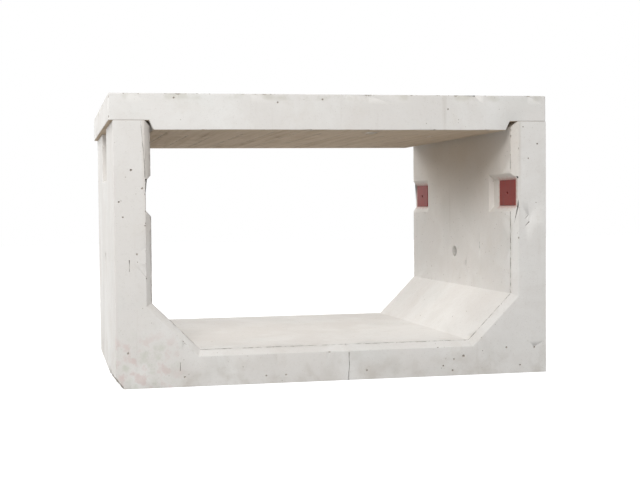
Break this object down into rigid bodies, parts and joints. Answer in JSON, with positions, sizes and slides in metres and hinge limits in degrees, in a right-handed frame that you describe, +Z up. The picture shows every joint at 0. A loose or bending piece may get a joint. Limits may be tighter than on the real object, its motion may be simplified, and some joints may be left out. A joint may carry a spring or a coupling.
{
  "type": "precast concrete u-drain with cover slab",
  "caption": "Precast concrete U-shaped drain unit with haunched floor, wall holes, joint pockets with red primed steel plates, and a loose ribbed cover slab.",
  "frame": {"origin": "on the ground, under the middle of the channel unit", "axes": "+X across the channel to the right, +Y along the drain away from the viewer, +Z up"},
  "size_m": [2.412, 1.5, 1.53],
  "materials": {
    "channel_concrete": "matt, cast against smooth steel moulds",
    "cover_concrete": "matt, soffit cast on boards",
    "primed_plate": "matt red anti-rust primer"
  },
  "bodies": {
    "channel": {"drain_channel": "channel_concrete", "front_left_plate": "primed_plate", "front_right_plate": "primed_plate", "back_left_plate": "primed_plate", "back_right_plate": "primed_plate"},
    "cover": {"cover_slab": "cover_concrete"}
  },
  "joints": [
    {"name": "cover_lift", "type": "slide", "parent": "channel", "child": "cover", "axis": [0, 0, 1], "range_m": [0, 0.4]}
  ]
}
